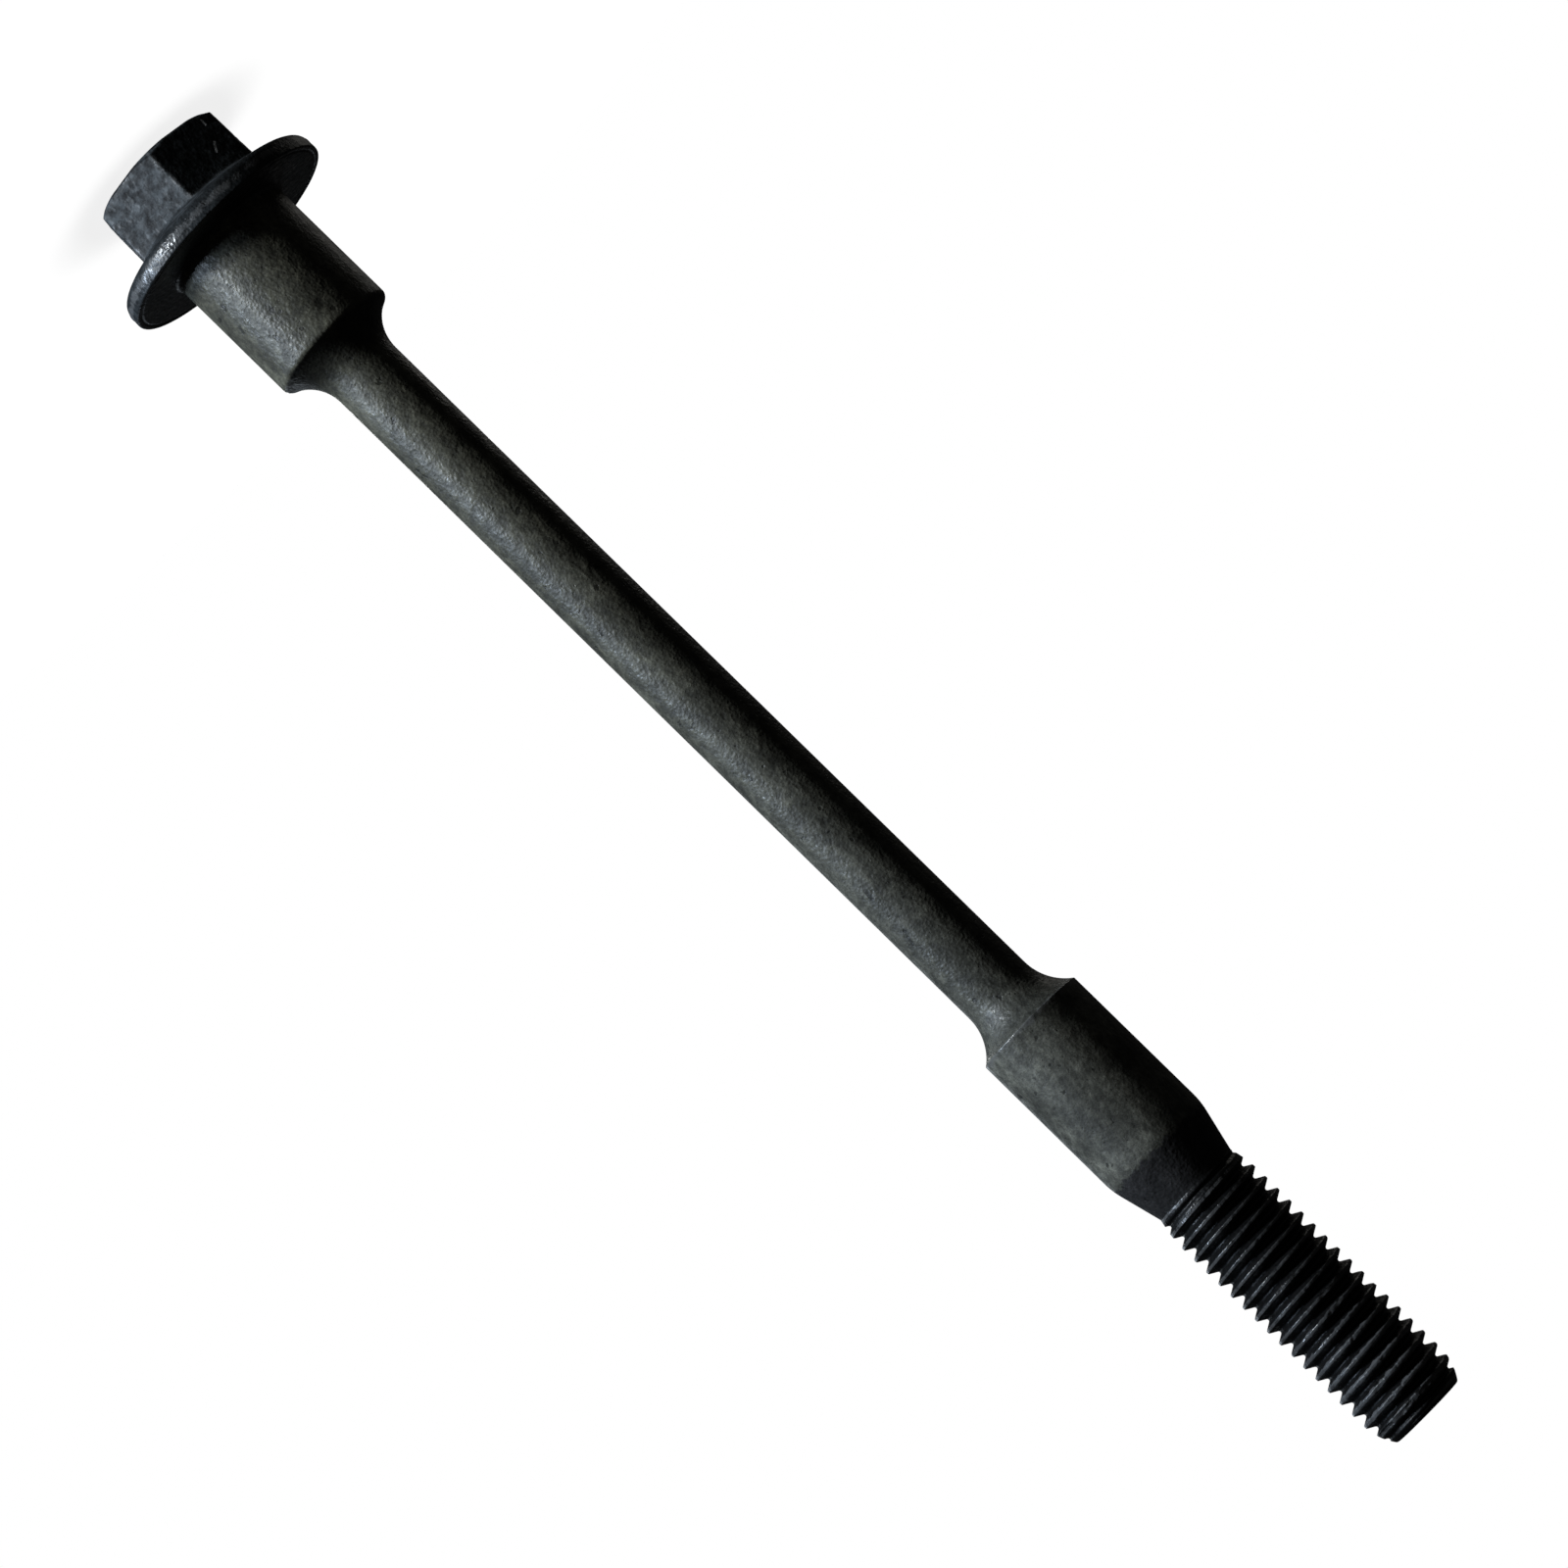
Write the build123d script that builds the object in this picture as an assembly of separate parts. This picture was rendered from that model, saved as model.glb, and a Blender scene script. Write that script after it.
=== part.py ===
from build123d import *
import os
from math import acos, atan, ceil, cos, degrees, radians, sin, sqrt, tan

# An oil pump bolt: a long flange bolt forged and turned in one piece.
# It stands on its head: Z = 0 is the flat top of the head and +Z runs up to the thread's point.
# All sizes are in millimetres, and angles are in degrees.

# Head: a forged hexagon with a round flange under it
head_height = 9.35
across_flats = 14.0
hexagon_draft = 0.8
hexagon_corner_radius = 0.4
head_top_diameter = 14.0
head_chamfer_angle = 33.0
flange_diameter = 23.1
flange_edge_thickness = 1.86
flange_back_angle = 20.0
flange_back_rounding = 1.2
flange_front_break = 0.22

# Upper pilot: the thick stretch under the head, which centres the bolt in its hole
upper_pilot_diameter = 12.93
upper_pilot_length = 13.98
under_head_chamfer = 0.6
upper_pilot_edge_break = 0.3
upper_neck_radius = 4.6

# Waisted shank
shank_diameter = 7.14
lower_neck_radius = 5.2

# Lower pilot: the second thick stretch, with a cone down to the thread
lower_pilot_distance = 102.9
lower_pilot_diameter = 11.35
lower_pilot_length = 15.8
lower_pilot_edge_break = 0.12
cone_half_angle = 14.0
cone_shoulder_radius = 8.0

# Rolled thread, M10 x 1.5, right-handed, with a run-out at the cone and a rounded point
length_under_head = 152.3
thread_nominal_diameter = 10.0
thread_pitch = 1.5
thread_crest_diameter = 9.85
thread_blank_diameter = 8.9
thread_flank_angle = 30.0
thread_crest_cut_share = 1 / 8
thread_root_cut_share = 1 / 6
runout_turns = 1.65
point_radius = 5.5
point_end_diameter = 7.6
point_end_break = 0.2

# How far a cutting shape reaches past the surface that it cuts
cut_overlap = 0.15

# Heights above the head's top
bearing_z = head_height
upper_pilot_z = bearing_z + upper_pilot_length
lower_pilot_z = bearing_z + lower_pilot_distance
shoulder_z = lower_pilot_z + lower_pilot_length
tip_z = bearing_z + length_under_head

# Radii along the bolt; the flange's back runs on inside the hexagon to half of its width
flange_r = flange_diameter / 2
hidden_back_r = across_flats / 4
upper_pilot_r = upper_pilot_diameter / 2
shank_r = shank_diameter / 2
lower_pilot_r = lower_pilot_diameter / 2
blank_r = thread_blank_diameter / 2
crest_r = thread_crest_diameter / 2
point_end_r = point_end_diameter / 2

# Metric thread form: the cut shares are what the sharp V loses of its height at crests and roots
sharp_v_height = thread_pitch / 2 / tan(radians(thread_flank_angle))
sharp_v_r = thread_nominal_diameter / 2 - sharp_v_height * (1 - thread_crest_cut_share)
root_r = sharp_v_r + sharp_v_height * thread_root_cut_share
thread_start_z = shoulder_z + (lower_pilot_r - blank_r) / tan(radians(cone_half_angle))
runout_length = runout_turns * thread_pitch
full_thread_z = thread_start_z + runout_length


def neck_length(neck_radius, pilot_r):
    """How far a concave neck reaches from a pilot's edge to where it runs into the shank."""
    rise = pilot_r - shank_r
    return sqrt(neck_radius**2 - (neck_radius - rise) ** 2)


def neck_arc(pilot_z, pilot_r, neck_radius, way):
    """The neck's arc from a pilot's edge, tangent to the shank; way is +1 up the bolt, -1 down."""
    end_z = pilot_z + way * neck_length(neck_radius, pilot_r)
    half_turn = acos(1 - (pilot_r - shank_r) / neck_radius) / 2
    bend_r = shank_r + neck_radius * (1 - cos(half_turn))
    bend_z = end_z - way * neck_radius * sin(half_turn)
    return ThreePointArc((pilot_r, pilot_z), (bend_r, bend_z), (shank_r, end_z))


def point_arc():
    """The rounded point: an arc tangent to the thread's crests, down to the flat end."""
    drop = crest_r - point_end_r
    reach = sqrt(point_radius**2 - (point_radius - drop) ** 2)
    half_turn = acos(1 - drop / point_radius) / 2
    bend_r = crest_r - point_radius * (1 - cos(half_turn))
    bend_z = tip_z - reach + point_radius * sin(half_turn)
    return ThreePointArc((crest_r, tip_z - reach), (bend_r, bend_z), (point_end_r, tip_z))


def turned_body():
    """Flange, pilots, shank and thread blank, as one profile turned about Z."""
    flange_back_z = bearing_z - flange_edge_thickness
    hidden_z = flange_back_z - (flange_r - hidden_back_r) * tan(radians(flange_back_angle))
    roundings = [
        ((flange_r, flange_back_z), flange_back_rounding),
        ((lower_pilot_r, shoulder_z), cone_shoulder_radius),
    ]
    edge_breaks = [
        ((flange_r, bearing_z), flange_front_break),
        ((upper_pilot_r, bearing_z), under_head_chamfer),
        ((upper_pilot_r, upper_pilot_z), upper_pilot_edge_break),
        ((lower_pilot_r, lower_pilot_z), lower_pilot_edge_break),
        ((point_end_r, tip_z), point_end_break),
    ]
    with BuildPart() as body:
        with BuildSketch(Plane.XZ) as profile:
            with BuildLine():
                head_side = Polyline(
                    (0, tip_z),
                    (0, hidden_z),
                    (hidden_back_r, hidden_z),
                    (flange_r, flange_back_z),
                    (flange_r, bearing_z),
                    (upper_pilot_r, bearing_z),
                    (upper_pilot_r, upper_pilot_z),
                )
                upper_neck = neck_arc(upper_pilot_z, upper_pilot_r, upper_neck_radius, 1)
                lower_neck = neck_arc(lower_pilot_z, lower_pilot_r, lower_neck_radius, -1)
                Line(upper_neck @ 1, lower_neck @ 1)
                point = point_arc()
                Polyline(
                    lower_neck @ 0,
                    (lower_pilot_r, shoulder_z),
                    (blank_r, thread_start_z),
                    (crest_r, full_thread_z),
                    point @ 0,
                )
                Line(point @ 1, head_side @ 0)
            make_face()
            for corner, radius in roundings:
                fillet(profile.vertices().sort_by_distance(corner)[0], radius)
            for corner, width in edge_breaks:
                chamfer(profile.vertices().sort_by_distance(corner)[0], width)
        revolve(axis=Axis.Z)
    return body.part


def hexagon():
    """The hexagon, a corner towards -Y, leaning in to its top, with its top corners cut by a cone."""
    root_z = bearing_z - flange_edge_thickness
    head_top_r = head_top_diameter / 2
    cone_r = head_top_r + root_z / tan(radians(head_chamfer_angle))
    with BuildPart() as block:
        with BuildSketch(Plane.XY.offset(root_z)) as outline:
            RegularPolygon(across_flats / 2, 6, major_radius=False, rotation=30)
            fillet(outline.vertices(), hexagon_corner_radius)
        extrude(amount=-root_z)
        draft(block.faces().filter_by(Axis.Z, reverse=True), Plane.XY.offset(root_z), -hexagon_draft)
        standing = (Align.CENTER, Align.CENTER, Align.MIN)
        Cone(head_top_r, cone_r, root_z, align=standing, mode=Mode.INTERSECT)
    return block.part


def groove_section():
    """The thread's groove beside the bolt's axis: a V with a narrow flat root, open past the crests."""
    slope = tan(radians(thread_flank_angle))
    mouth_r = crest_r + cut_overlap
    root_half = (root_r - sharp_v_r) * slope
    mouth_half = (mouth_r - sharp_v_r) * slope
    with BuildSketch(Plane.XZ) as section:
        Polygon(
            (root_r, -root_half),
            (mouth_r, -mouth_half),
            (mouth_r, mouth_half),
            (root_r, root_half),
            align=None,
        )
    return section.sketch


def helix_path(turns, start_r, end_r):
    """A helix up from Z = 0 at +X, in edges of up to two turns each."""
    climb = degrees(atan((end_r - start_r) / (turns * thread_pitch)))
    slant_pitch = thread_pitch / cos(radians(climb))
    edges = []
    for first_turn in range(0, ceil(turns), 2):
        height = min(2, turns - first_turn) * thread_pitch
        edge_r = start_r + (end_r - start_r) * first_turn / turns
        edge = Edge.make_helix(slant_pitch, height, edge_r, angle=climb)
        edges += [Pos(0, 0, first_turn * thread_pitch) * piece for piece in edge.edges()]
    return Wire(edges)


def full_groove():
    """The groove at its full depth, from the end of the run-out past the point."""
    turns = ceil((tip_z - full_thread_z) / thread_pitch) + 1
    path = helix_path(turns, root_r, root_r)
    return Pos(0, 0, full_thread_z) * sweep(groove_section(), path=path, is_frenet=True)


def runout_groove():
    """The groove's run-out: it winds on towards the cone and climbs out of the blank."""
    path = helix_path(runout_turns, root_r, blank_r + cut_overlap)
    turned_over = sweep(groove_section(), path=path, is_frenet=True).rotate(Axis.X, 180)
    return Pos(0, 0, full_thread_z) * turned_over


bolt = turned_body() + hexagon() - full_groove() - runout_groove()
bolt.label = "bolt"

os.makedirs("parts", exist_ok=True)
export_step(bolt, "parts/bolt.step")
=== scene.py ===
import math

import bmesh
import bpy
import numpy as np
from mathutils import Matrix, Vector, noise


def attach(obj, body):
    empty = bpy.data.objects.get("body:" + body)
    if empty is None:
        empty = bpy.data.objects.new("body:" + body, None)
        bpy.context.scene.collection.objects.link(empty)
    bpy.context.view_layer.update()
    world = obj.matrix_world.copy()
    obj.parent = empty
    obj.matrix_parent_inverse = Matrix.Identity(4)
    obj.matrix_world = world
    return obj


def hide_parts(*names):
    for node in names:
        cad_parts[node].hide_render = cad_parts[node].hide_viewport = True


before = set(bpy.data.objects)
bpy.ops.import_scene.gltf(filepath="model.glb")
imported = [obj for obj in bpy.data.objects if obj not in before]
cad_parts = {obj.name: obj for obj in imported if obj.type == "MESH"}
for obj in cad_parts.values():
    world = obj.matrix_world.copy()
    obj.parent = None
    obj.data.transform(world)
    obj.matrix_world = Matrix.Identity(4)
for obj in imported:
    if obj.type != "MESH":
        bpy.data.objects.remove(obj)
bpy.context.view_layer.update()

# The head

# A forged hexagon in one piece with a round flange, phosphated black like the rest of the bolt.
# Its flats lean in a little towards the top, a cone cuts the top corners, and the flange's rim is
# rounded. The bolt stands on the flat top, and a corner of the hexagon faces the camera.
mm = 0.001
head_height = 9.35 * mm
hexagon_apothem = 7.0 * mm
hexagon_draft = math.radians(0.8)
hexagon_corner_radius = 0.45 * mm
head_top_radius = 7.1 * mm
head_chamfer_slope = math.tan(math.radians(32))
least_top_chamfer = 0.22 * mm
flange_radius = 11.54 * mm
flange_back_height = 7.6 * mm
flange_back_slope = math.tan(math.radians(20))
bearing_ring_radius = 9.0 * mm
ring_line_radii = (11.12 * mm, 10.95 * mm, 10.75 * mm)
ring_line_depth = 0.1 * mm
bite_depth = 0.16 * mm
bite_size = 0.45 * mm
bites_per_radian = 9

# Columns of points round the bolt, and how much they crowd at the hexagon's corners
columns = 156
crowding = 0.85


def column_angles():
    """The angle of each column round the bolt; they draw together at the hexagon's corners."""
    sector = np.arange(columns + 1) / columns * 6
    drawn = sector - crowding * np.sin(2 * np.pi * sector) / (2 * np.pi)
    return drawn * np.pi / 3 - np.pi / 2


def hexagon_radius(angle, height):
    """Distance from the axis to the hexagon's wall, corners rounded, at an angle and a height."""
    apothem = hexagon_apothem - (flange_back_height - height) * math.tan(hexagon_draft)
    off_flat = np.pi / 6 - np.abs((angle % (np.pi / 3)) - np.pi / 6)
    inner = apothem - hexagon_corner_radius
    centre = inner / math.cos(np.pi / 6)
    flat_ends = np.arctan2(inner * math.tan(np.pi / 6), apothem)
    off_corner = np.pi / 6 - off_flat
    across = np.clip(centre * np.sin(off_corner), -hexagon_corner_radius, hexagon_corner_radius)
    on_arc = centre * np.cos(off_corner) + np.sqrt(hexagon_corner_radius**2 - across**2)
    return np.where(off_flat <= flat_ends, apothem / np.cos(off_flat), on_arc)


def rounded(corners, radii, arc_steps, fill_steps):
    """Section lines, one per column, with their corners rounded and rows added on straight runs."""
    rows = [corners[:, 0]]
    last = corners[:, 0]
    for k in range(1, corners.shape[1]):
        here = corners[:, k]
        if k < corners.shape[1] - 1:
            back = corners[:, k - 1] - here
            on = corners[:, k + 1] - here
            back_length = np.linalg.norm(back, axis=1, keepdims=True)
            on_length = np.linalg.norm(on, axis=1, keepdims=True)
            back, on = back / back_length, on / on_length
            straight = np.clip(-(back * on).sum(1, keepdims=True), -1, 1)
            reach = radii[k] * np.tan(np.arccos(straight) / 2)
            reach = np.minimum(reach, np.minimum(back_length, on_length) * 0.45)
            start, end = here + back * reach, here + on * reach
        else:
            start = end = here
        for s in range(1, fill_steps[k] + 1):
            rows.append(last + (start - last) * s / (fill_steps[k] + 1))
        rows.append(start)
        if k < corners.shape[1] - 1:
            for s in range(1, arc_steps[k] + 1):
                t = s / arc_steps[k]
                rows.append(start * (1 - t) ** 2 + here * 2 * t * (1 - t) + end * t**2)
        last = end
    return np.stack(rows, axis=1)


def head_sections():
    """Each column's section, radius and height, from the top's centre to the flange's face."""
    angle = column_angles()
    top = hexagon_radius(angle, 0.0)
    wall = hexagon_radius(angle, head_chamfer_slope * (top - head_top_radius))
    chamfer_z = np.maximum((wall - head_top_radius) * head_chamfer_slope, 0) + least_top_chamfer
    top_edge = np.minimum(head_top_radius, top) - least_top_chamfer
    foot = hexagon_radius(angle, flange_back_height)
    # The foot's height and its radius depend on each other
    for _ in range(3):
        foot_z = flange_back_height - (flange_radius - foot) * flange_back_slope
        foot = hexagon_radius(angle, foot_z)
    flat = np.zeros_like(angle)
    ring_outer, ring_middle, ring_inner = ring_line_radii
    # Each corner's radius and height, its rounding in mm, and the rows on its arc and before it
    outline = [
        (flat, flat, 0, 0, 0),
        (top_edge, flat, 0.3, 4, 5),
        (hexagon_radius(angle, chamfer_z), chamfer_z, 0.25, 4, 2),
        (foot, foot_z, 0.45, 5, 14),
        (flat + flange_radius, flat + flange_back_height, 1.2, 9, 5),
        (flat + flange_radius, flat + head_height, 0.22, 6, 2),
        (flat + ring_outer, flat + head_height, 0.1, 2, 0),
        (flat + ring_middle, flat + head_height - ring_line_depth, 0.1, 2, 0),
        (flat + ring_inner, flat + head_height, 0.04, 2, 0),
        (flat + bearing_ring_radius, flat + head_height, 0, 0, 3),
    ]
    corners = np.stack([np.stack(row[:2], axis=1) for row in outline], axis=1)
    roundings = [row[2] * mm for row in outline]
    return rounded(corners, roundings, [row[3] for row in outline], [row[4] for row in outline])


def head_wear(sections, angle):
    """How rubbed each point is: most at the hexagon's corners and edge and the flange's rim."""
    radius, height = sections[:, :, 0], sections[:, :, 1]
    off_corner = np.abs((angle % (np.pi / 3)) - np.pi / 6)[:, None] * radius
    on_wall = (height > 0.05 * mm) & (height < 6.3 * mm)
    corner = 0.85 * np.exp(-(off_corner / (0.42 * mm)) ** 2) * on_wall
    top_edge = 0.6 * np.exp(-((height - 0.3 * mm) / (0.3 * mm)) ** 2) * (radius > 6.5 * mm)
    rim = np.exp(-((height - 8.45 * mm) / (0.6 * mm)) ** 2) * (radius > 11.1 * mm)
    back_line = 0.8 * np.exp(-((radius - 10.95 * mm) / (0.13 * mm)) ** 2) * (height < 8.2 * mm)
    return np.maximum(np.maximum(corner, top_edge), np.maximum(rim, back_line))


def head_mesh():
    """The head's skin, with small bites out of its rubbed edges and their wear stored on it."""
    sections = head_sections()
    angle = column_angles()
    rows = sections.shape[1]
    worn = head_wear(sections, angle)
    bite = np.array([[
        noise.noise(Vector((
            bites_per_radian * math.cos(a), bites_per_radian * math.sin(a), z / bite_size,
        ))) for z in line
    ] for a, line in zip(angle, sections[:, :, 1])])
    sections[:, :, 0] -= np.clip(bite, 0, 1) * worn * bite_depth
    x = sections[:, :, 0] * np.cos(angle)[:, None]
    y = sections[:, :, 0] * np.sin(angle)[:, None]
    points = np.stack([x, y, sections[:, :, 1]], axis=2).reshape(-1, 3)
    faces = []
    for c in range(columns):
        for r in range(rows - 1):
            a, b = c * rows + r, (c + 1) * rows + r
            faces.append((a, a + 1, b + 1, b))
    mesh = bpy.data.meshes.new("head")
    mesh.from_pydata(points.tolist(), [], faces)
    mesh.attributes.new("wear", "FLOAT", "POINT").data.foreach_set("value", worn.reshape(-1))
    return mesh


# The turned stem

# Upper pilot, waisted shank, lower pilot and cone, turned from the same blank as the head.
# Concave necks lead from both pilots into the shank. The lower pilot's upper edge is nearly sharp.
upper_pilot_radius = 6.465 * mm
upper_pilot_end = 23.33 * mm
under_head_fillet = 0.5 * mm
upper_pilot_rounding = 0.5 * mm
upper_neck_radius = 4.6 * mm
shank_radius = 3.57 * mm
lower_neck_radius = 5.2 * mm
lower_pilot_start = 112.25 * mm
lower_pilot_radius = 5.675 * mm
lower_pilot_rounding = 0.12 * mm
shoulder_height = 128.05 * mm
shoulder_rounding = 8.0 * mm
blank_radius = 4.45 * mm
thread_start = 132.96 * mm
neck_rows = 16
shank_rows = 24


def neck(edge_z, pilot_radius, radius, way, rounding, steps):
    """The neck's points from its pilot's wall to the shank; way is +1 up the bolt, -1 down it."""
    full_turn = math.acos(1 - (pilot_radius - shank_radius) / radius)
    end_z = edge_z + way * radius * math.sin(full_turn)
    cut = rounding * math.tan(full_turn / 2)
    arc = []
    for s in range(steps + 1):
        turn = (full_turn - cut / radius) * (1 - s / steps)
        out, up = radius * (1 - math.cos(turn)), radius * math.sin(turn)
        arc.append((shank_radius + out, end_z - way * up))
    start = (pilot_radius, edge_z - way * cut)
    corner = (pilot_radius, edge_z)
    edge = []
    for s in range(5):
        t = s / 5
        weights = ((1 - t) ** 2, 2 * t * (1 - t), t * t)
        edge.append(tuple(
            weights[0] * start[i] + weights[1] * corner[i] + weights[2] * arc[0][i]
            for i in range(2)
        ))
    return edge + arc


def stem_section():
    """Radius and height along the stem's outline, from the flange's face to the thread's start."""
    head_side = np.array([[
        (bearing_ring_radius, head_height),
        (upper_pilot_radius, head_height),
        (upper_pilot_radius, upper_pilot_end - upper_pilot_rounding),
    ]])
    wall = rounded(head_side, [0, under_head_fillet, 0], [0, 7, 0], [0, 3, 10])[0]
    points = [tuple(p) for p in wall] + neck(
        upper_pilot_end, upper_pilot_radius, upper_neck_radius, 1, upper_pilot_rounding, neck_rows,
    )
    lower = neck(
        lower_pilot_start, lower_pilot_radius, lower_neck_radius, -1, lower_pilot_rounding,
        neck_rows,
    )
    shank_from, shank_to = points[-1][1], lower[-1][1]
    for s in range(1, shank_rows):
        points.append((shank_radius, shank_from + (shank_to - shank_from) * s / shank_rows))
    points += reversed(lower)
    tip_side = np.array([[
        (lower_pilot_radius, lower_pilot_start + lower_pilot_rounding),
        (lower_pilot_radius, shoulder_height),
        (blank_radius, thread_start),
    ]])
    shoulder = rounded(tip_side, [0, shoulder_rounding, 0], [0, 6, 0], [0, 10, 6])[0]
    return points + [tuple(p) for p in shoulder[1:]]


def stem_rub(radius, height):
    """How rubbed the stem is: the lower pilot's sharp edge, and half as much the upper pilot's."""
    off_lower_edge = height - lower_pilot_start
    off_upper_edge = height - upper_pilot_end
    if radius > 5.6 * mm and -0.06 * mm < off_lower_edge < 0.09 * mm:
        return 0.95
    if radius > 6.3 * mm and -0.23 * mm < off_upper_edge < 0.07 * mm:
        return 0.5
    return 0.0


def socket_named(sockets, name):
    return next(s for s in sockets if s.name == name and s.enabled)


def add_node(tree, kind, inputs=None, **settings):
    """A new node; its inputs, by name or number, are values or other nodes' output sockets."""
    node = tree.nodes.new(kind)
    for key, value in settings.items():
        setattr(node, key, value)
    for key, value in (inputs or {}).items():
        socket = node.inputs[key] if isinstance(key, int) else socket_named(node.inputs, key)
        if isinstance(value, bpy.types.NodeSocket):
            tree.links.new(value, socket)
        else:
            socket.default_value = value
    return node


def calc(tree, operation, *values):
    """One sum on numbers or sockets, in a geometry or a shader tree."""
    node = add_node(tree, "ShaderNodeMath", dict(enumerate(values)), operation=operation)
    return node.outputs[0]


def parts_of(tree, vector):
    """A vector's X, Y and Z."""
    return add_node(tree, "ShaderNodeSeparateXYZ", {0: vector}).outputs


def start_tree(name, sizes):
    """A geometry tree with a Section input and a named input for each size."""
    tree = bpy.data.node_groups.new(name, "GeometryNodeTree")
    tree.interface.new_socket("Section", in_out="INPUT", socket_type="NodeSocketGeometry")
    for size, kind in sizes.items():
        tree.interface.new_socket(size, in_out="INPUT", socket_type=kind)
    tree.interface.new_socket("Geometry", in_out="OUTPUT", socket_type="NodeSocketGeometry")
    tree.nodes.new("NodeGroupInput")
    return tree


def tree_input(tree, name):
    return tree.nodes["Group Input"].outputs[name]


def winding_grid(tree, rows):
    """A grid of columns and rows, and each point's column share (0 to 1), angle and row number."""
    count = tree_input(tree, "Columns")
    grid = add_node(tree, "GeometryNodeMeshGrid", {
        "Size X": 1.0,
        "Size Y": 1.0,
        "Vertices X": calc(tree, "ADD", count, 1.0),
        "Vertices Y": rows,
    })
    place = parts_of(tree, add_node(tree, "GeometryNodeInputPosition").outputs[0])
    share = calc(tree, "ADD", place["X"], 0.5)
    column = calc(tree, "ROUND", calc(tree, "MULTIPLY", share, count))
    share = calc(tree, "DIVIDE", column, count)
    row_share = calc(tree, "ADD", place["Y"], 0.5)
    last_row = calc(tree, "SUBTRACT", rows, 1.0)
    row = calc(tree, "ROUND", calc(tree, "MULTIPLY", row_share, last_row))
    sector = calc(tree, "MULTIPLY", share, 6.0)
    wave = calc(tree, "SINE", calc(tree, "MULTIPLY", sector, 2 * math.pi))
    crowding_share = calc(tree, "DIVIDE", tree_input(tree, "Crowding"), 2 * math.pi)
    drawn = calc(tree, "SUBTRACT", sector, calc(tree, "MULTIPLY", wave, crowding_share))
    angle = calc(tree, "SUBTRACT", calc(tree, "MULTIPLY", drawn, math.pi / 3), math.pi / 2)
    turned_share = calc(tree, "DIVIDE", drawn, 6.0)
    return grid.outputs["Mesh"], turned_share, angle, row


def section_at(tree, row, data_type="FLOAT_VECTOR", value=None):
    """The section's position, or another value on it, at a row number."""
    if value is None:
        value = add_node(tree, "GeometryNodeInputPosition").outputs[0]
    sample = add_node(tree, "GeometryNodeSampleIndex", data_type=data_type, domain="POINT")
    tree.links.new(tree_input(tree, "Section"), socket_named(sample.inputs, "Geometry"))
    tree.links.new(value, socket_named(sample.inputs, "Value"))
    tree.links.new(row, socket_named(sample.inputs, "Index"))
    return next(s for s in sample.outputs if s.enabled)


def section_rows(tree):
    """How many points the section has."""
    section = {0: tree_input(tree, "Section")}
    size = add_node(tree, "GeometryNodeAttributeDomainSize", section, component="MESH")
    return size.outputs["Point Count"]


def wear_at(tree, row):
    """The wear stored on the section, at a row number."""
    stored = {"Name": "wear"}
    worn = add_node(tree, "GeometryNodeInputNamedAttribute", stored, data_type="FLOAT").outputs[0]
    return section_at(tree, row, "FLOAT", worn)


def on_bolt(tree, radius, angle, height):
    """The place at a radius, an angle and a height."""
    return add_node(tree, "ShaderNodeCombineXYZ", {
        "X": calc(tree, "MULTIPLY", radius, calc(tree, "COSINE", angle)),
        "Y": calc(tree, "MULTIPLY", radius, calc(tree, "SINE", angle)),
        "Z": height,
    }).outputs[0]


def close_tree(tree, mesh, radius, height, angle, wear):
    """Puts each grid point at its radius, angle and height, joins the seam and ends the tree."""
    stored = add_node(tree, "GeometryNodeStoreNamedAttribute", {
        "Geometry": mesh, "Name": "wear", "Value": wear,
    }, data_type="FLOAT", domain="POINT")
    moved = add_node(tree, "GeometryNodeSetPosition", {
        "Geometry": stored.outputs[0], "Position": on_bolt(tree, radius, angle, height),
    })
    joined = add_node(tree, "GeometryNodeMergeByDistance", {
        "Geometry": moved.outputs[0], "Distance": 1e-6,
    })
    real = add_node(tree, "GeometryNodeRealizeInstances", {"Geometry": joined.outputs[0]})
    painted = add_node(tree, "GeometryNodeSetMaterial", {
        "Geometry": real.outputs[0], "Material": tree_input(tree, "Finish"),
    })
    add_node(tree, "NodeGroupOutput", {0: painted.outputs[0]})


def lathe_tree():
    """Turns a section about the bolt's axis."""
    tree = start_tree("Turned form", {
        "Columns": "NodeSocketInt", "Crowding": "NodeSocketFloat", "Finish": "NodeSocketMaterial",
    })
    mesh, _, angle, row = winding_grid(tree, section_rows(tree))
    place = parts_of(tree, section_at(tree, row))
    close_tree(tree, mesh, place["X"], place["Z"], angle, wear_at(tree, row))
    return tree


def run_tree(name, tree, section, wear, values):
    """Runs a tree on a section line and returns the result as a plain mesh."""
    line = bpy.data.meshes.new(name)
    links = [(i, i + 1) for i in range(len(section) - 1)]
    line.from_pydata([(r, 0, z) for r, z in section], links, [])
    line.attributes.new("wear", "FLOAT", "POINT").data.foreach_set("value", wear)
    carrier = bpy.data.objects.new(name, line)
    bpy.context.scene.collection.objects.link(carrier)
    modifier = carrier.modifiers.new("Form", "NODES")
    modifier.node_group = tree
    for socket in tree.interface.items_tree:
        if socket.in_out == "INPUT" and socket.name in values:
            modifier[socket.identifier] = values[socket.name]
    graph = bpy.context.evaluated_depsgraph_get()
    mesh = bpy.data.meshes.new_from_object(carrier.evaluated_get(graph))
    bpy.data.objects.remove(carrier)
    return mesh


finish = bpy.data.materials.new("black phosphate")
shared_values = {"Columns": columns, "Crowding": crowding, "Finish": finish}
turned_form = lathe_tree()
stem_line = stem_section()
stem_wear = [stem_rub(radius, height) for radius, height in stem_line]
stem_mesh = run_tree("stem", turned_form, stem_line, stem_wear, shared_values)

# The rolled thread

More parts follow.
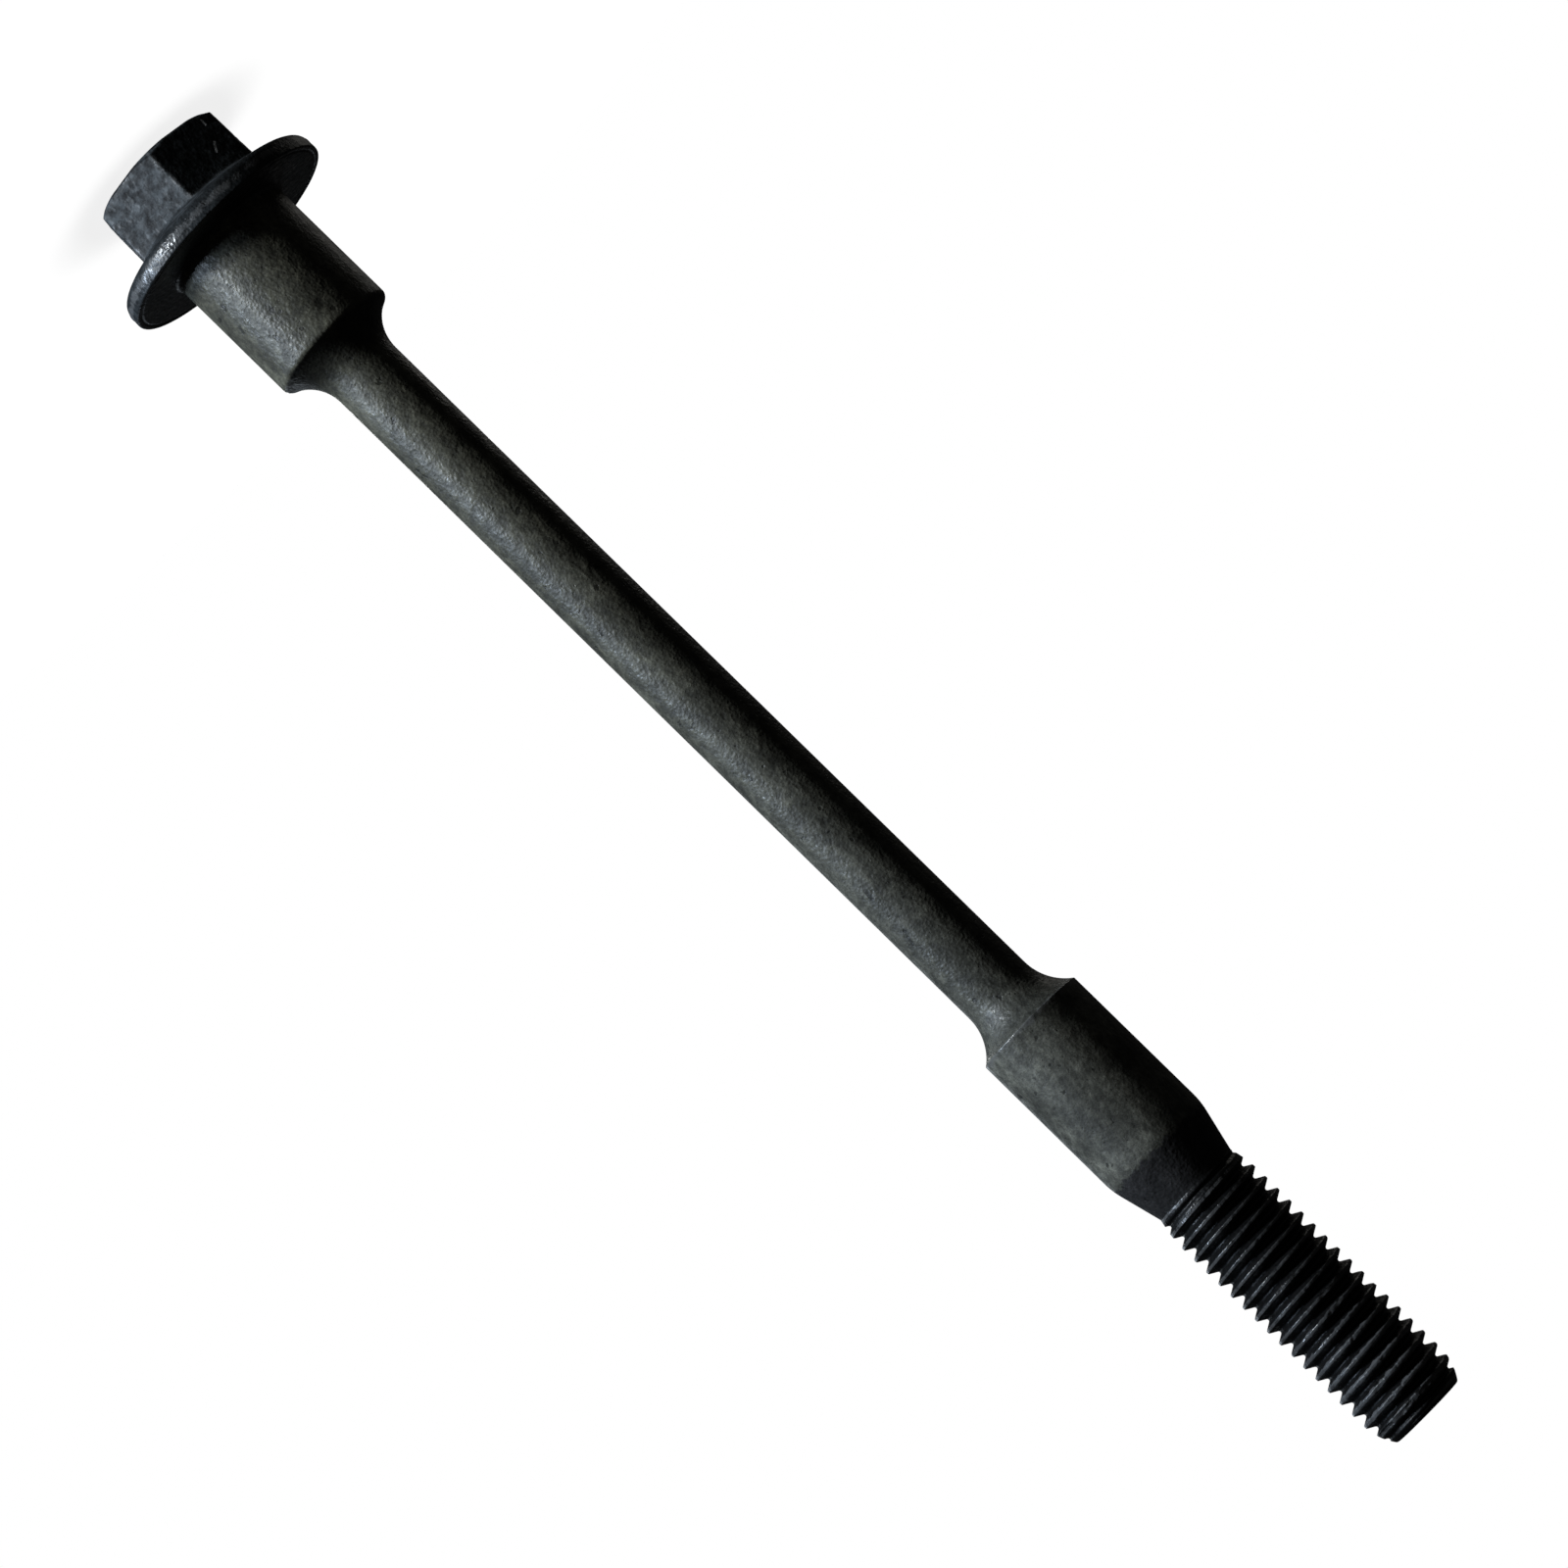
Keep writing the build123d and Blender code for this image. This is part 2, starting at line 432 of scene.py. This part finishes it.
# M10 x 1.5, right-handed, rolled into the blank between two dies: the metal moves from the grooves
# up into the crests. The groove climbs out of the blank at the cone, and the point is rounded.
thread_nominal_radius = 5.0 * mm
thread_pitch = 1.5 * mm
crest_radius = 4.925 * mm
sharp_height = thread_pitch / 2 / math.tan(math.radians(30))
root_rounding = sharp_height / 6
sharp_bottom = thread_nominal_radius - sharp_height * 7 / 8
thread_end = 161.35 * mm
tip_z = 161.65 * mm
point_rounding_start = 158.317 * mm
point_radius = 5.5 * mm
first_groove_z = 135.44 * mm
crest_rise_length = 3.6 * mm
groove_rise_length = 2.7 * mm
groove_rise = 0.40 * mm


def thread_section():
    """One turn of the thread from groove to groove: radius, height from the groove, and wear."""
    half = []
    for degrees in (0, 20, 40, 60):
        a = math.radians(degrees)
        root = sharp_bottom + root_rounding * (2 - math.cos(a))
        half.append((root, root_rounding * math.sin(a), 0.0))
    crest_edge = (crest_radius - sharp_bottom) * math.tan(math.radians(30))
    soft = 0.06 * mm
    flank_top = (crest_radius - soft * math.cos(math.radians(30)), crest_edge - soft / 2)
    low = half[-1]
    for share in (0.35, 0.7):
        out = low[0] + (flank_top[0] - low[0]) * share
        up = low[1] + (flank_top[1] - low[1]) * share
        half.append((out, up, 0.1 * share))
    crest_flat = (crest_radius, crest_edge + soft)
    corner = (crest_radius, crest_edge)
    middle = [0.25 * flank_top[i] + 0.5 * corner[i] + 0.25 * crest_flat[i] for i in range(2)]
    half.append((*flank_top, 0.5))
    half.append((*middle, 0.9))
    half.append((*crest_flat, 1.0))
    crest = [(crest_radius, thread_pitch / 2, 0.9)]
    other = [(r, thread_pitch - z, w) for r, z, w in reversed(half[1:])]
    return half + crest + other


def rising(tree, value, low, high):
    """0 at low, rising straight to 1 at high."""
    span = {"Value": value, "From Min": low, "From Max": high}
    return add_node(tree, "ShaderNodeMapRange", span).outputs[0]


def thread_tree():
    """Winds one turn's section up the bolt; the groove rises at its start, the point is rounded."""
    sizes = [
        "Pitch", "Groove Height", "Start Height", "End Height", "Blank Radius", "Crest Radius",
        "Crest Rise Length", "Groove Rise", "Groove Rise Length", "Point Start", "Point Radius",
        "Nick Depth", "Nick Size", "Nick Start",
    ]
    kinds = {"Columns": "NodeSocketInt", "Crowding": "NodeSocketFloat", "Turns": "NodeSocketInt"}
    kinds.update({size: "NodeSocketFloat" for size in sizes})
    kinds["Finish"] = "NodeSocketMaterial"
    tree = start_tree("Rolled thread", kinds)
    get = {name: tree_input(tree, name) for name in kinds}
    turn_rows = section_rows(tree)
    rows = calc(tree, "ADD", calc(tree, "MULTIPLY", turn_rows, get["Turns"]), 1.0)
    mesh, share, angle, row = winding_grid(tree, rows)
    turn = calc(tree, "FLOOR", calc(tree, "DIVIDE", calc(tree, "ADD", row, 0.5), turn_rows))
    rows_below = calc(tree, "MULTIPLY", turn, turn_rows)
    index = calc(tree, "ROUND", calc(tree, "SUBTRACT", row, rows_below))
    place = parts_of(tree, section_at(tree, index))
    climbed = calc(tree, "MULTIPLY", calc(tree, "ADD", turn, share), get["Pitch"])
    height = calc(tree, "ADD", calc(tree, "ADD", place["Z"], climbed), get["Groove Height"])
    height = calc(tree, "MAXIMUM", height, get["Start Height"])
    height = calc(tree, "MINIMUM", height, get["End Height"])
    above = calc(tree, "SUBTRACT", height, get["Start Height"])

    def fade(length):
        """1 at the thread's start, falling to 0 as a parabola over a length."""
        part = calc(tree, "MINIMUM", calc(tree, "DIVIDE", above, length), 1.0)
        left = calc(tree, "SUBTRACT", 1.0, part)
        return calc(tree, "MULTIPLY", left, left)

    crest_gain = calc(tree, "SUBTRACT", get["Crest Radius"], get["Blank Radius"])
    missing = calc(tree, "MULTIPLY", crest_gain, fade(get["Crest Rise Length"]))
    outer = calc(tree, "SUBTRACT", get["Crest Radius"], missing)
    past = calc(tree, "MAXIMUM", calc(tree, "SUBTRACT", height, get["Point Start"]), 0.0)
    square = calc(tree, "POWER", get["Point Radius"], 2.0)
    square = calc(tree, "SUBTRACT", square, calc(tree, "POWER", past, 2.0))
    drop = calc(tree, "SUBTRACT", get["Point Radius"], calc(tree, "SQRT", square))
    outer = calc(tree, "SUBTRACT", outer, drop)
    groove_rise_left = calc(tree, "MULTIPLY", get["Groove Rise"], fade(get["Groove Rise Length"]))
    groove = calc(tree, "ADD", place["X"], groove_rise_left)
    radius = calc(tree, "MINIMUM", outer, groove)

    # Nicks bite into the rubbed crests and grow towards the point, but spare its end ring
    wear = wear_at(tree, index)
    knocks = add_node(tree, "ShaderNodeTexNoise", {
        "Vector": on_bolt(tree, radius, angle, height),
        "Scale": calc(tree, "DIVIDE", 1.0, get["Nick Size"]),
        "Detail": 2.0,
    })
    deep = rising(tree, knocks.outputs[0], 0.5, 0.72)
    towards_point = rising(tree, calc(tree, "SUBTRACT", height, get["Nick Start"]), 0.0, 8 * mm)
    off_end = rising(tree, calc(tree, "SUBTRACT", get["End Height"], height), 0.0, 0.5 * mm)
    share_of_depth = calc(tree, "MULTIPLY", towards_point, off_end)
    nick = calc(tree, "MULTIPLY", calc(tree, "MULTIPLY", deep, share_of_depth), wear)
    radius = calc(tree, "SUBTRACT", radius, calc(tree, "MULTIPLY", nick, get["Nick Depth"]))
    close_tree(tree, mesh, radius, height, angle, wear)
    return tree


# The first groove's height is measured at +X, a quarter turn past the first column
turn_section = thread_section()
turn_line = [p[:2] for p in turn_section]
turn_wear = [p[2] for p in turn_section]
turns_below = math.ceil((first_groove_z - thread_start) / thread_pitch) + 2
lowest_groove_z = first_groove_z + thread_pitch * (0.75 - turns_below)
turns = math.ceil((thread_end - lowest_groove_z) / thread_pitch)
thread_mesh = run_tree("thread", thread_tree(), turn_line, turn_wear, {
    **shared_values,
    "Turns": turns,
    "Pitch": thread_pitch,
    "Groove Height": lowest_groove_z,
    "Start Height": thread_start,
    "End Height": thread_end,
    "Blank Radius": blank_radius,
    "Crest Radius": crest_radius,
    "Crest Rise Length": crest_rise_length,
    "Groove Rise": groove_rise,
    "Groove Rise Length": groove_rise_length,
    "Point Start": point_rounding_start,
    "Point Radius": point_radius,
    "Nick Depth": 0.2 * mm,
    "Nick Size": 1.1 * mm,
    "Nick Start": 140 * mm,
})


def point_section():
    """The point's end: a rounded edge and a flat."""
    past = thread_end - point_rounding_start
    reach = math.sqrt(point_radius**2 - past**2)
    start = crest_radius - (point_radius - reach)
    slope = past / reach
    edge = start - slope * (tip_z - thread_end)
    corners = np.array([[(start, thread_end), (edge, tip_z), (0.0, tip_z)]])
    return [tuple(p) for p in rounded(corners, [0, 0.5 * mm, 0], [0, 6, 0], [0, 1, 5])[0]]


point_line = point_section()
point_mesh = run_tree("point", turned_form, point_line, [0.5] * len(point_line), shared_values)

# The whole bolt

# Head, stem, thread and point are one piece of steel, so their meshes become one closed skin. The
# steel is phosphated black, a dull coat of fine crystals, except at the cone and the thread.
whole = bmesh.new()
whole.verts.layers.float.new("wear")
for part in (head_mesh(), stem_mesh, thread_mesh, point_mesh):
    whole.from_mesh(part)
bmesh.ops.remove_doubles(whole, verts=whole.verts, dist=1e-6)
bmesh.ops.dissolve_degenerate(whole, edges=whole.edges, dist=1e-8)
bmesh.ops.recalc_face_normals(whole, faces=whole.faces)
skin = bpy.data.meshes.new("bolt_skin")
whole.to_mesh(skin)
whole.free()
skin.shade_smooth()
skin.materials.clear()
skin.materials.append(finish)
bolt = bpy.data.objects.new("bolt_skin", skin)
bpy.context.scene.collection.objects.link(bolt)

finish.use_nodes = True
paint = finish.node_tree
paint.nodes.clear()
brown_black = (0.077, 0.0745, 0.0565, 1.0)
grey_black = (0.077, 0.0765, 0.0635, 1.0)
blue_black = (0.0205, 0.023, 0.0245, 1.0)
soot_black = (0.019, 0.018, 0.018, 1.0)
oil_black = (0.004, 0.004, 0.004, 1.0)
bare_steel = (0.30, 0.30, 0.30, 1.0)
# The scratches' near white is partly a painted glint, where their face gets little light
scratch_and_glint_grey = (0.90, 0.90, 0.87, 1.0)
rubbed_grey = (0.11, 0.112, 0.114, 1.0)
# Single dents and scratches: start, end and half width, in millimetres
pit_lines = [
    ((-1.35, -6.32, 20.95), (-1.20, -6.35, 21.3), 0.55),
    ((-2.95, -5.75, 19.8), (-2.80, -5.83, 20.2), 0.32),
    ((5.25, -3.77, 16.9), (5.36, -3.61, 17.4), 0.3),
    ((2.00, -2.96, 93.7), (2.10, -2.89, 94.5), 0.32),
    ((2.30, -2.73, 99.3), (2.45, -2.60, 100.0), 0.25),
]
scratch_lines = [
    ((-5.17, -5.03, 3.28), (-4.62, -5.37, 4.20), 0.15),
    ((-5.77, -4.64, 0.88), (-5.73, -4.68, 1.53), 0.12),
]

# Heights in millimetres: the coat's end, the cone's change into thread, and the most rubbed turns
coat_end = 128.3
cone_to_thread = (131.6, 134.0)
rubbed_turns = (144.0, 156.0)
spot = {0: add_node(paint, "ShaderNodeTexCoord").outputs["Object"], "Scale": 1000.0}
in_mm = add_node(paint, "ShaderNodeVectorMath", spot, operation="SCALE").outputs[0]
height_mm = parts_of(paint, in_mm)["Z"]


def cloud(scale, detail, stretch=1.0, offset=0.0):
    """Noise on the bolt in millimetres, 0 to 1; stretch draws it out along the bolt's axis."""
    moved = add_node(paint, "ShaderNodeMapping", {
        "Vector": in_mm,
        "Location": (offset, offset, offset),
        "Scale": (scale, scale, scale / stretch),
    })
    return add_node(paint, "ShaderNodeTexNoise", {
        "Vector": moved.outputs[0], "Scale": 1.0, "Detail": detail, "Roughness": 0.6,
    }).outputs[0]


def ramp(value, low, high, to_low=0.0, to_high=1.0):
    """A smooth step from to_low at low to to_high at high."""
    return add_node(paint, "ShaderNodeMapRange", {
        "Value": value, "From Min": low, "From Max": high, "To Min": to_low, "To Max": to_high,
    }, interpolation_type="SMOOTHSTEP").outputs[0]


def blended(factor, first, second, how="MIX"):
    """The first colour at factor 0 and the second at 1, or both multiplied."""
    sides = {"Factor": factor, "A": first, "B": second}
    mix = add_node(paint, "ShaderNodeMix", sides, data_type="RGBA", blend_type=how)
    return next(o for o in mix.outputs if o.enabled)


def both(first, second):
    return calc(paint, "MULTIPLY", first, second)


def plus(first, second):
    return calc(paint, "ADD", first, second)


def less(first, second):
    return calc(paint, "SUBTRACT", first, second)


def larger(first, second):
    return calc(paint, "MAXIMUM", first, second)


def vector_sum(operation, first, second, output=0):
    """One sum on two vectors."""
    sides = {0: first, 1: second}
    return add_node(paint, "ShaderNodeVectorMath", sides, operation=operation).outputs[output]


def grey_of(tree, value):
    """A grey of the same red, green and blue."""
    parts = {"Red": value, "Green": value, "Blue": value}
    return add_node(tree, "ShaderNodeCombineColor", parts).outputs[0]


def streak(start, end, width):
    """1 on a line between two points in millimetres, fading out over its width."""
    along = Vector(end) - Vector(start)
    off = vector_sum("SUBTRACT", in_mm, start)
    reach = vector_sum("DOT_PRODUCT", off, along, "Value")
    share = calc(paint, "DIVIDE", reach, along.length_squared)
    share = calc(paint, "MINIMUM", larger(share, 0.0), 1.0)
    scaled = {0: along, "Scale": share}
    nearest = add_node(paint, "ShaderNodeVectorMath", scaled, operation="SCALE").outputs[0]
    gap = vector_sum("DISTANCE", off, nearest, "Value")
    return ramp(gap, width * 0.4, width, 1.0, 0.0)


patches = cloud(0.3, 3.0, 1.6)
mottle = cloud(1.1, 4.0, 1.2, 31.0)
swells = cloud(1.1, 1.0, 1.2, 31.0)
pebbles = cloud(2.0, 1.0, 1.0, 11.0)
grain = cloud(8.0, 2.0, 1.0, 57.0)
crystals = add_node(paint, "ShaderNodeTexVoronoi", {"Vector": in_mm, "Scale": 3.2})
wobble = ramp(mottle, 0.3, 0.7, -0.5, 0.5)

# A bluish head, brownish turned parts that turn greyer towards the thread, and a sooty cone and
# oily black thread that were left uncoated.
in_head = ramp(plus(height_mm, both(wobble, 0.3)), 9.55, 9.95, 1.0, 0.0)
uncoated = ramp(plus(height_mm, both(wobble, 0.7)), coat_end - 0.2, coat_end + 0.25)
in_thread = ramp(height_mm, *cone_to_thread)
colour = blended(ramp(height_mm, 40.0, 112.0), brown_black, grey_black)
colour = blended(in_head, colour, blue_black)
colour = blended(uncoated, colour, soot_black)
colour = blended(in_thread, colour, oil_black)

# Cloudy grey with fine grain, dark pits and dents, and sparks of lighter grey along the bolt. The
# hexagon is smeared, painted shade darkens the neck below the upper pilot, and painted light makes
# the lower pilot a little lighter.
shade = both(ramp(patches, 0.35, 0.66, 0.7, 1.32), ramp(mottle, 0.34, 0.66, 0.7, 1.32))
shade = both(shade, both(ramp(grain, 0.3, 0.7, 0.75, 1.25), ramp(pebbles, 0.35, 0.65, 0.85, 1.15)))
large_pits = ramp(cloud(0.9, 2.0, 1.0, 83.0), 0.66, 0.71)
small_pits = ramp(cloud(2.6, 1.0, 1.0, 19.0), 0.68, 0.76)
pits = larger(large_pits, both(small_pits, 0.6))
for start, end, width in pit_lines:
    pits = larger(pits, streak(start, end, width))
shade = both(shade, less(1.0, both(pits, 0.65)))
on_hexagon = ramp(height_mm, 6.8, 7.6, 1.0, 0.0)
blotches = cloud(0.85, 5.0, 0.6, 7.0)
smears = less(ramp(blotches, 0.47, 0.64, 0.0, 1.9), ramp(blotches, 0.37, 0.5, 0.6, 0.0))
shade = plus(shade, both(smears, on_hexagon))
# Painted shade in the concave neck below the upper pilot's edge, which shades it
neck_painted_shade = both(ramp(height_mm, 23.3, 23.5), ramp(height_mm, 24.6, 28.6, 1.0, 0.0))
on_lower_pilot = both(ramp(height_mm, 112.0, 112.2), ramp(height_mm, 127.8, 128.3, 1.0, 0.0))
shade = both(shade, less(1.0, both(neck_painted_shade, 0.8)))
# Painted light: the lower pilot is lighter, standing in for the highlight its lamps give only
# weakly
shade = both(shade, plus(1.0, both(on_lower_pilot, 0.26)))
sparks = ramp(cloud(2.0, 3.0, 2.4, 41.0), 0.53, 0.68)
shade = both(shade, plus(1.0, both(sparks, 0.36)))
shade_colour = grey_of(paint, shade)
colour = blended(1.0, colour, shade_colour, "MULTIPLY")

# Rubbed edges show steel, two scratches on the hexagon's dark face are near white, a painted glint,
# and the thread's crests are rubbed grey, more widely towards the point.
rubbed = add_node(paint, "ShaderNodeAttribute", attribute_name="wear").outputs["Fac"]
patchy = plus(both(mottle, 1.5), both(grain, 0.4))
bare = both(ramp(plus(rubbed, patchy), 1.6, 2.0), ramp(height_mm, 7.0, 7.4, 1.0, 0.6))
colour = blended(both(bare, 0.7), colour, bare_steel)
# Real scratches, drawn near white as a painted glint on the dark face
for start, end, width in scratch_lines:
    colour = blended(streak(start, end, width), colour, scratch_and_glint_grey)
flat_place = vector_sum("MULTIPLY", in_mm, (1.0, 1.0, 0.0))
radius_mm = vector_sum("DISTANCE", flat_place, (0.0, 0.0, 0.0), "Value")
rub_spread = both(wobble, ramp(height_mm, 140.0, 150.0, 0.08, 0.35))
rub_from = plus(ramp(height_mm, *rubbed_turns, 4.89, 4.66), rub_spread)
crest_rub = both(ramp(less(radius_mm, rub_from), -0.03, 0.06), in_thread)
colour = blended(both(crest_rub, ramp(height_mm, *rubbed_turns, 0.14, 1.0)), colour, rubbed_grey)

# The hexagon and the cone are duller, and rubbed metal, crests and sparks are glossier.
dull = larger(uncoated, on_hexagon)
roughness = ramp(mottle, 0.32, 0.68, 0.54, 0.4)
roughness = plus(roughness, both(dull, ramp(height_mm, *cone_to_thread, 0.24, 0.0)))
roughness = less(roughness, larger(both(rubbed, 0.16), both(bare, 0.2)))
roughness = less(roughness, both(crest_rub, ramp(height_mm, *rubbed_turns, 0.14, 0.04)))
roughness = plus(roughness, both(on_lower_pilot, 0.05))
roughness = less(roughness, both(sparks, 0.15))

# Relief in millimetres: the coat's crystals over swells and pebbles, smoother on the lower pilot.
relief = plus(both(grain, 0.009), both(swells, 0.07))
relief = plus(relief, both(pebbles, 0.06))
relief = plus(relief, both(crystals.outputs["Distance"], 0.03))
relief = less(relief, both(pits, 0.025))
smoother = less(1.0, both(on_lower_pilot, 0.45))
bumps = add_node(paint, "ShaderNodeBump", {
    "Strength": smoother, "Distance": 0.001, "Height": relief,
})

shader = add_node(paint, "ShaderNodeBsdfPrincipled", {
    "Base Color": colour,
    "Metallic": both(bare, 0.6),
    "Roughness": roughness,
    "Specular IOR Level": 0.35,
    "Normal": bumps.outputs[0],
})
add_node(paint, "ShaderNodeOutputMaterial", {0: shader.outputs[0]})

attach(bolt, "root")
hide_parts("bolt")

# The studio

# A plain white round table top before a white backdrop. The room in front of the bolt is dark, so
# its black stays black. Two soft lamps stand low on the left, a bluish one lights the head from the
# side, three weak ones stand behind, and one above lights only the table, for the bolt's shadow.
table_radius = 0.12
table_sides = 96
room_level = 0.012
mirrored_level = 0.07
lit_level = 0.15
floor_mesh = bpy.data.meshes.new("floor")
rim_angles = np.linspace(0, 2 * math.pi, table_sides + 1)[:-1]
rim = [(table_radius * math.cos(a), table_radius * math.sin(a), -0.1 * mm) for a in rim_angles]
floor_mesh.from_pydata(rim, [], [tuple(range(table_sides))])
floor = bpy.data.objects.new("floor", floor_mesh)
bpy.context.scene.collection.objects.link(floor)
# Most lamps stand below the table top, so it casts no shadow
floor.visible_shadow = False


def white_seen(tree, behind):
    """How white the room is for a ray: 1 for the camera's, and dim for a mirrored one behind."""
    ray = add_node(tree, "ShaderNodeLightPath").outputs
    mirrored = calc(tree, "MAXIMUM", ray["Is Glossy Ray"], ray["Is Transmission Ray"])
    mirrored = calc(tree, "MULTIPLY", calc(tree, "MULTIPLY", mirrored, behind), mirrored_level)
    white = calc(tree, "MAXIMUM", ray["Is Camera Ray"], mirrored)
    return calc(tree, "MAXIMUM", white, room_level)


table_top = bpy.data.materials.new("white table")
table_top.use_nodes = True
tree = table_top.node_tree
tree.nodes.clear()
depth = parts_of(tree, add_node(tree, "ShaderNodeTexCoord").outputs["Object"])["Y"]
glow = white_seen(tree, rising(tree, depth, 0.03, 0.1))
from_camera = add_node(tree, "ShaderNodeLightPath").outputs["Is Camera Ray"]
lit_share = calc(tree, "MULTIPLY", from_camera, lit_level)
card = add_node(tree, "ShaderNodeBsdfDiffuse", {"Color": grey_of(tree, lit_share)})
light = add_node(tree, "ShaderNodeEmission", {"Strength": calc(tree, "SUBTRACT", glow, lit_share)})
lit_card = add_node(tree, "ShaderNodeAddShader", {0: card.outputs[0], 1: light.outputs[0]})
add_node(tree, "ShaderNodeOutputMaterial", {0: lit_card.outputs[0]})
floor_mesh.materials.append(table_top)

world = bpy.data.worlds.new("white room")
world.use_nodes = True
bpy.context.scene.world = world
tree = world.node_tree
tree.nodes.clear()
way = parts_of(tree, add_node(tree, "ShaderNodeTexCoord").outputs["Object"])["Y"]
glow = white_seen(tree, rising(tree, way, 0.98, 0.993))
room = add_node(tree, "ShaderNodeBackground", {"Color": (1, 1, 1, 1), "Strength": glow})
add_node(tree, "ShaderNodeOutputWorld", {0: room.outputs[0]})


def soft_lamp(name, azimuth, elevation, distance, size, strength, aim_z, colour):
    """A square lamp aimed at the bolt's axis; azimuth turns from the camera's side towards +X."""
    data = bpy.data.lights.new(name, "AREA")
    data.size = size
    data.color = colour
    data.energy = strength * (math.pi * distance) ** 2
    lamp = bpy.data.objects.new(name, data)
    bpy.context.scene.collection.objects.link(lamp)
    a, e = math.radians(azimuth), math.radians(elevation)
    away = Vector((math.sin(a) * math.cos(e), -math.cos(a) * math.cos(e), math.sin(e)))
    lamp.location = away * distance + Vector((0, 0, aim_z))
    lamp.rotation_mode = "QUATERNION"
    lamp.rotation_quaternion = away.to_track_quat("Z", "Y")
    lamp.visible_camera = False
    return lamp


soft_lamp("key", 60, -27, 0.32, 0.06, 0.86, 0.02, (0.93, 1.0, 1.06))
soft_lamp("low key", 75, -25, 0.5, 0.05, 0.34, 0.12, (0.79, 0.96, 1.2))
soft_lamp("side", 96, -26, 0.14, 0.08, 0.31, 0.02, (0.55, 0.8, 1.15))
soft_lamp("back", 160, 12, 0.5, 0.15, 0.03, 0.01, (0.8, 0.9, 1.0))
soft_lamp("rear", -138, -24, 0.4, 0.12, 0.03, 0.07, (1.0, 0.98, 0.92))
soft_lamp("behind", 180, -25, 0.4, 0.15, 0.28, 0.07, (1.0, 1.0, 1.0))
table_lamp = soft_lamp("table", 0, 90, 0.6, 0.4, 1.35, 0.0, (1.0, 1.0, 1.0))
table_only = bpy.data.collections.new("table only")
table_only.objects.link(floor)
table_lamp.light_linking.receiver_collection = table_only

# The camera

# A long lens at the photograph's place: level with the thread, looking down the bolt to its head,
# and rolled by 44.4 degrees, so that the bolt lies from corner to corner of the picture.
camera_swing = math.radians(2.2)
camera_tilt = math.radians(6.65)
camera_distance = 0.5278
camera_height = 0.1428
sideways = 0.000145
roll_cosine, roll_sine = 0.71458, 0.69956
out = Vector((math.sin(camera_swing), -math.cos(camera_swing), 0))
up_bolt = Vector((0, 0, 1))
side = -up_bolt.cross(out)
along = up_bolt * math.cos(camera_tilt) - out * math.sin(camera_tilt)
right = along * roll_cosine + side * roll_sine
top = along * -roll_sine + side * roll_cosine
backward = right.cross(top)
camera_data = bpy.data.cameras.new("camera")
camera_data.lens = 135
camera_data.sensor_width = 36
camera_data.clip_start = 0.01
camera = bpy.data.objects.new("camera", camera_data)
bpy.context.scene.collection.objects.link(camera)
camera.matrix_world = Matrix((
    (right.x, top.x, backward.x, 0),
    (right.y, top.y, backward.y, 0),
    (right.z, top.z, backward.z, 0),
    (0, 0, 0, 1),
))
camera.location = out * camera_distance + up_bolt * camera_height - side * sideways
bpy.context.scene.camera = camera
bpy.context.scene.view_settings.view_transform = "Standard"
